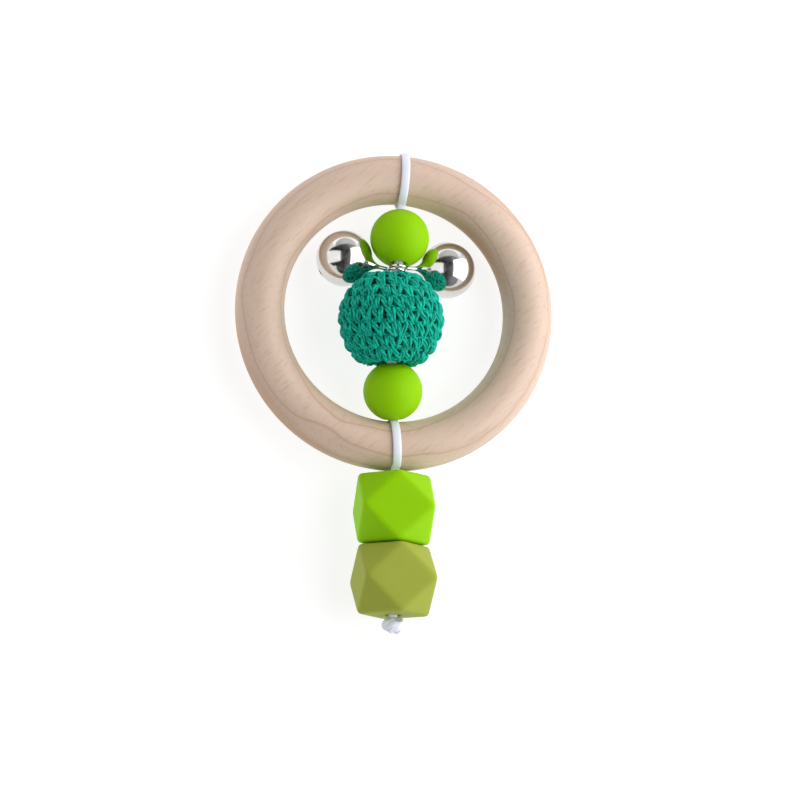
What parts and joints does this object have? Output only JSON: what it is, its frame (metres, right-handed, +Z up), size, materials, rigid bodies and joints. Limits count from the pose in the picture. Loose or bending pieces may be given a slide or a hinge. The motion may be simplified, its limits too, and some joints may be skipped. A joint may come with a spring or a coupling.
{
  "type": "baby rattle",
  "caption": "Wooden ring rattle: a doubled cord across the ring carries silicone beads, a crochet ball and bells, with faceted beads below.",
  "frame": {"origin": "centre of the base of the bounding box, on the surface that the rattle lies on", "axes": "+Y along the cord, from the faceted beads to the fold over the ring; +Z up from the surface, square to the ring; +X to the right seen from above"},
  "size_m": [0.065, 0.0991, 0.0218],
  "materials": {
    "ring_wood": "bare sanded beech",
    "core_wood": "bare brown wood",
    "lime_silicone": "matt moulded silicone",
    "olive_silicone": "matt moulded silicone",
    "teal_yarn": "crocheted cotton yarn",
    "white_cord": "satin cord",
    "bell_metal": "bright plated",
    "pellet_steel": "plain steel"
  },
  "bodies": {
    "ring": {"wooden_ring": "ring_wood"},
    "string": {"cord_upper": "white_cord", "cord_lower_front": "white_cord", "cord_lower_back": "white_cord"},
    "bead_upper": {"round_bead_upper": "lime_silicone"},
    "crochet_ball": {"crochet_cover": "teal_yarn", "wooden_core_bead": "core_wood"},
    "bead_lower": {"round_bead_lower": "lime_silicone"},
    "bell_left": {"bell_left_upper_cup": "bell_metal", "bell_left_lower_cup": "bell_metal", "bell_left_eye": "bell_metal"},
    "pellet_left": {"bell_left_pellet": "pellet_steel"},
    "bell_right": {"bell_right_upper_cup": "bell_metal", "bell_right_lower_cup": "bell_metal", "bell_right_eye": "bell_metal"},
    "pellet_right": {"bell_right_pellet": "pellet_steel"},
    "tail": {"cord_tail_front": "white_cord", "cord_tail_back": "white_cord", "tail_knot": "white_cord"},
    "hex_lime": {"hex_bead_lime": "lime_silicone"},
    "hex_olive": {"hex_bead_olive": "olive_silicone"}
  },
  "joints": [
    {"name": "ring_turn", "type": "hinge", "parent": "ring", "child": "string", "pos_m": [0, 0.0163, 0.00585], "axis": [0, 0, 1], "continuous": true},
    {"name": "bead_upper_spin", "type": "hinge", "parent": "string", "child": "bead_upper", "pos_m": [0.0008, 0.03128, 0.00812], "axis": [0.0669, 0.9816, -0.1788], "continuous": true},
    {"name": "crochet_ball_spin", "type": "hinge", "parent": "string", "child": "crochet_ball", "pos_m": [-0.00138, 0.01414, 0.0109], "axis": [0.0174, 0.9974, 0.0698], "continuous": true},
    {"name": "bead_lower_spin", "type": "hinge", "parent": "string", "child": "bead_lower", "pos_m": [-0.00067, -0.00036, 0.0086], "axis": [-0.0507, 0.9681, 0.2453], "continuous": true},
    {"name": "bell_left_swing", "type": "hinge", "parent": "string", "child": "bell_left", "pos_m": [-0.0001, 0.0241, 0.00967], "axis": [0.122, 0.9702, -0.2096], "range_deg": [-10, 65]},
    {"name": "pellet_left_rattle", "type": "slide", "parent": "bell_left", "child": "pellet_left", "axis": [0, 0, 1], "range_m": [0, 0.007]},
    {"name": "bell_right_swing", "type": "hinge", "parent": "string", "child": "bell_right", "pos_m": [0.00028, 0.02492, 0.00933], "axis": [-0.0808, -0.9791, 0.1867], "range_deg": [-30, 65]},
    {"name": "pellet_right_rattle", "type": "slide", "parent": "bell_right", "child": "pellet_right", "axis": [0, 0, 1], "range_m": [0, 0.007]},
    {"name": "tail_swing", "type": "hinge", "parent": "string", "child": "tail", "pos_m": [-0.0001, -0.0112, 0.00585], "axis": [-1, 0, 0], "range_deg": [-80, 75], "deforming": ["cord_lower_front", "cord_lower_back"]},
    {"name": "hex_lime_spin", "type": "hinge", "parent": "tail", "child": "hex_lime", "pos_m": [-0.00026, -0.02425, 0.00745], "axis": [0.0122, 0.9999, 0], "continuous": true},
    {"name": "hex_olive_spin", "type": "hinge", "parent": "tail", "child": "hex_olive", "pos_m": [-0.00044, -0.03875, 0.00807], "axis": [0.0122, 0.9999, 0], "continuous": true}
  ]
}
